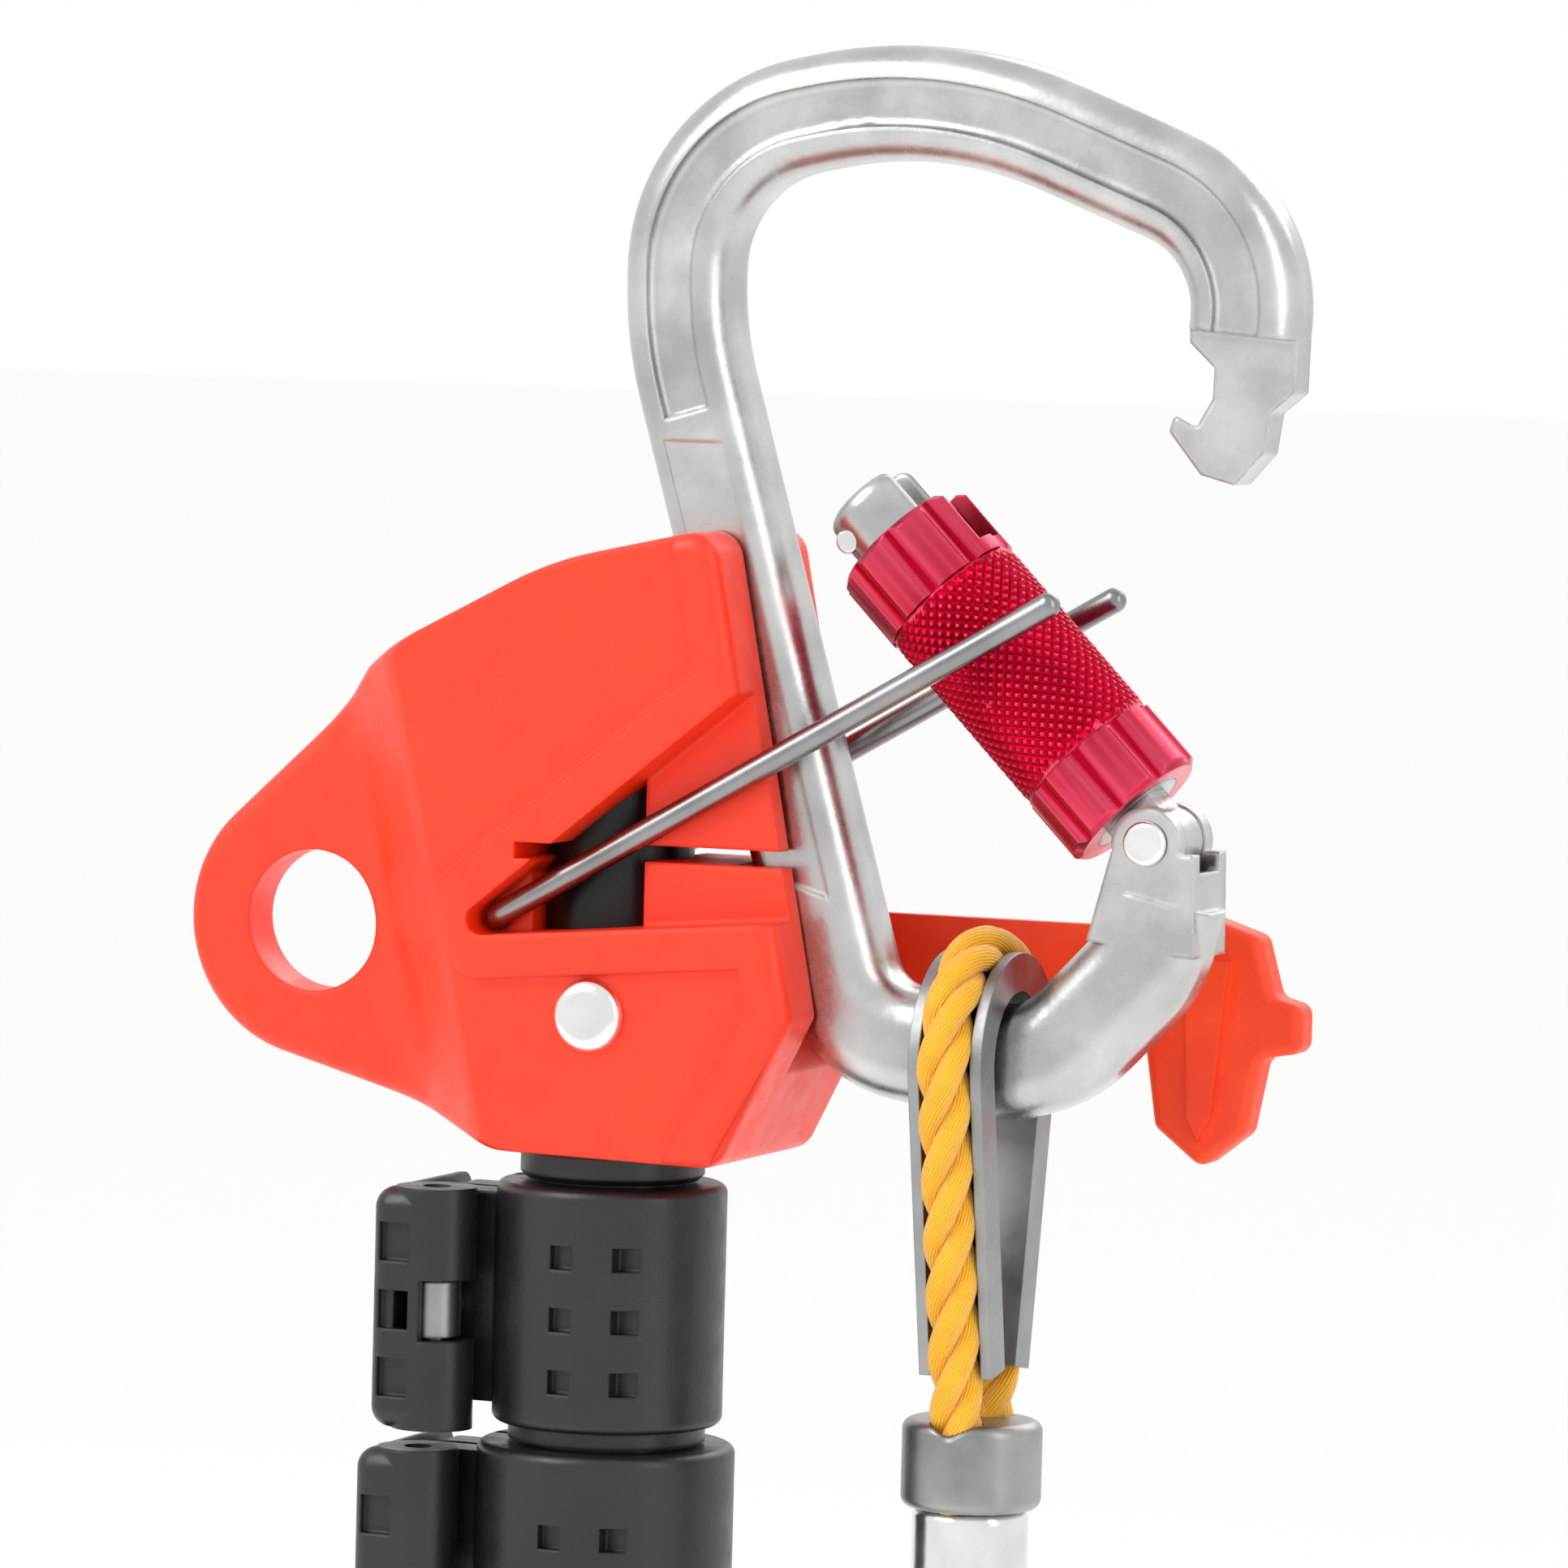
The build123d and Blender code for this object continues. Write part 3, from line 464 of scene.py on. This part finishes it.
def place_along(axis, origin):
    """A matrix whose Z runs along an axis from an origin."""
    return Matrix.Translation(origin) @ Vector(axis).to_track_quat("Z", "Y").to_matrix().to_4x4()


def new_piece(name, mesh, material, body):
    piece = bpy.data.objects.new(name, mesh)
    bpy.context.scene.collection.objects.link(piece)
    mesh.materials.append(material)
    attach(piece, body)
    return piece


def close_ring(bm, rows):
    """Quads between rows of points that close round; the last row joins the first."""
    count = len(rows[0])
    for a, b in zip(rows, rows[1:] + rows[:1]):
        for k in range(count):
            bm.faces.new((a[k], a[(k + 1) % count], b[(k + 1) % count], b[k]))


def tooth(turns):
    """Height from 0 in a groove to 1 on a ridge."""
    return 1 - abs(2 * (turns % 1.0) - 1)


def knurl_mesh(low, high, inner_r, outer_r):
    bm = bmesh.new()
    around = KNURL_TEETH * STEPS_PER_TOOTH
    pitch = 2 * math.pi * outer_r / KNURL_TEETH
    steps = round((high - low) / pitch * STEPS_PER_TOOTH)
    rows = []
    for i in range(steps + 1):
        z = low + (high - low) * i / steps
        fade = min(1.0, 1.2 * min(i, steps - i) / STEPS_PER_TOOTH)
        row = []
        for k in range(around):
            turn = k / around
            raised = min(tooth(KNURL_TEETH * turn + (z - low) / pitch),
                         tooth(KNURL_TEETH * turn - (z - low) / pitch))
            radius = outer_r - KNURL_DEPTH * (1 - min(1.0, 1.6 * raised)) * fade - KNURL_DEPTH * 0.5 * (1 - fade)
            a = 2 * math.pi * turn
            row.append(bm.verts.new((radius * math.cos(a), radius * math.sin(a), z)))
        rows.append(row)
    for z in (high, low):
        rows.append([bm.verts.new((inner_r * math.cos(2 * math.pi * k / around),
                                   inner_r * math.sin(2 * math.pi * k / around), z)) for k in range(around)])
    close_ring(bm, rows)
    bmesh.ops.recalc_face_normals(bm, faces=bm.faces)
    mesh = bpy.data.meshes.new("sleeve_knurl")
    bm.to_mesh(mesh)
    bm.free()
    return mesh


WAIST = (12.1 * MM, 34.7 * MM)     # along the sleeve from the gate's hinge
WAIST_R = 7.7 * MM
KNURL_TOP_R = 8.02 * MM
twist = joint_named("sleeve_twist")
knurl = knurl_mesh(*WAIST, WAIST_R - 0.1 * MM, KNURL_TOP_R)
knurl.transform(place_along(twist["axis"], Vector(twist["pos_m"])))
sleeve_knurl = new_piece("sleeve_knurl", knurl, anodised_red, "sleeve")
print("knurl faces", len(knurl.polygons))


# %% [markdown]
# ## Laid rope
#
# A laid rope is three strands twisted round each other. It could be a tube with a bump, but its outline is
# the twist, so each strand is its own tube that winds round the rope's path. The path of an eye is a
# teardrop: straight legs that touch the crown's circle. It is worked out from the box of the solid it replaces.

# %% Rope paths
STRANDS = 3
TURNS_PER_METRE = 1 / (19.0 * MM)
STEP = 0.7 * MM
STRAND_SIDES = 12


def teardrop(node_name, opens_down):
    """Points along an eye, from the foot of one leg round the crown to the foot of the other."""
    low, high = (Vector(corner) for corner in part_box(node_name))
    rope_r = (high.x - low.x) / 2
    crown_r = (high.y - low.y) / 2 - rope_r
    sign = 1 if opens_down else -1
    crown_z = high.z - rope_r - crown_r if opens_down else low.z + rope_r + crown_r
    drop = abs(crown_z - (low.z if opens_down else high.z))
    foot_y = rope_r + 0.1 * MM
    distance = math.hypot(foot_y, drop)
    lift = crown_r ** 2 / distance
    off = crown_r * (1 - (crown_r / distance) ** 2) ** 0.5
    touch_y = (lift * foot_y + off * drop) / distance
    touch_z = (-lift * drop + off * foot_y) / distance
    leg = Vector((0, touch_y - foot_y, touch_z + drop)).length
    points = []
    legs_steps = round(leg / STEP)
    for i in range(legs_steps):
        t = i / legs_steps
        points.append((-(foot_y + (touch_y - foot_y) * t), -drop + (touch_z + drop) * t))
    begin = math.atan2(touch_z, -touch_y) % (2 * math.pi)
    end = math.atan2(touch_z, touch_y)
    arc_steps = round(crown_r * (begin - end) / STEP)
    for i in range(arc_steps + 1):
        a = begin + (end - begin) * i / arc_steps
        points.append((crown_r * math.cos(a), crown_r * math.sin(a)))
    for i in range(legs_steps, 0, -1):
        t = (i - 1) / legs_steps
        points.append((foot_y + (touch_y - foot_y) * t, -drop + (touch_z + drop) * t))
    x = (low.x + high.x) / 2
    return [Vector((x, y, crown_z + sign * z)) for y, z in points], rope_r


def straight(node_name):
    low, high = (Vector(corner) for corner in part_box(node_name))
    middle = (low + high) / 2
    steps = round((high.z - low.z) / STEP)
    points = [Vector((middle.x, middle.y, low.z + (high.z - low.z) * i / steps)) for i in range(steps + 1)]
    return points, (high.x - low.x) / 2


def strand_tube(bm, centres, radius, uv):
    """A capped tube round a list of points, with u round it and v along it in turns."""
    rings, along = [], 0.0
    side = Vector((1, 0, 0))
    for i, centre in enumerate(centres):
        ahead = (centres[min(i + 1, len(centres) - 1)] - centres[max(i - 1, 0)]).normalized()
        side = (side - ahead * side.dot(ahead)).normalized()
        other = ahead.cross(side)
        rings.append([bm.verts.new(centre + radius * (side * math.cos(a) + other * math.sin(a)))
                      for a in (2 * math.pi * k / STRAND_SIDES for k in range(STRAND_SIDES))])
    for i, (a, b) in enumerate(zip(rings, rings[1:])):
        run = (centres[i + 1] - centres[i]).length / (2 * math.pi * radius)
        for k in range(STRAND_SIDES):
            face = bm.faces.new((a[k], a[(k + 1) % STRAND_SIDES], b[(k + 1) % STRAND_SIDES], b[k]))
            face.smooth = True
            us = (k, k + 1, k + 1, k)
            vs = (along, along, along + run, along + run)
            for loop, u, v in zip(face.loops, us, vs):
                loop[uv].uv = (u / STRAND_SIDES, v)
        along += run
    bm.faces.new(list(reversed(rings[0])))
    bm.faces.new(rings[-1])


def laid_rope(name, path, rope_r):
    """Three strands wound round a path, filling the rope's radius."""
    strand_r = rope_r * 0.5
    wind_r = rope_r - strand_r
    bm = bmesh.new()
    uv = bm.loops.layers.uv.new("strand")
    for s in range(STRANDS):
        side, along, centres = Vector((1, 0, 0)), 0.0, []
        for i, point in enumerate(path):
            ahead = (path[min(i + 1, len(path) - 1)] - path[max(i - 1, 0)]).normalized()
            side = (side - ahead * side.dot(ahead)).normalized()
            other = ahead.cross(side)
            a = 2 * math.pi * (s / STRANDS + along * TURNS_PER_METRE)
            centres.append(point + wind_r * (side * math.cos(a) + other * math.sin(a)))
            if i + 1 < len(path):
                along += (path[i + 1] - point).length
        strand_tube(bm, centres, strand_r, uv)
    bmesh.ops.recalc_face_normals(bm, faces=bm.faces)
    mesh = bpy.data.meshes.new(name)
    bm.to_mesh(mesh)
    bm.free()
    return mesh


for cad_name, opens_down in (("upper_rope_eye", True), ("lower_rope_eye", False), ("strop_rope", None)):
    path, rope_r = straight(cad_name) if opens_down is None else teardrop(cad_name, opens_down)
    piece_name = cad_name + "_laid"
    rope = new_piece(piece_name, laid_rope(piece_name, path, rope_r), rope_polyester, "strop")
    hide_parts(cad_name)
    print(piece_name, "length", round(sum((b - a).length for a, b in zip(path, path[1:])), 3), "m")
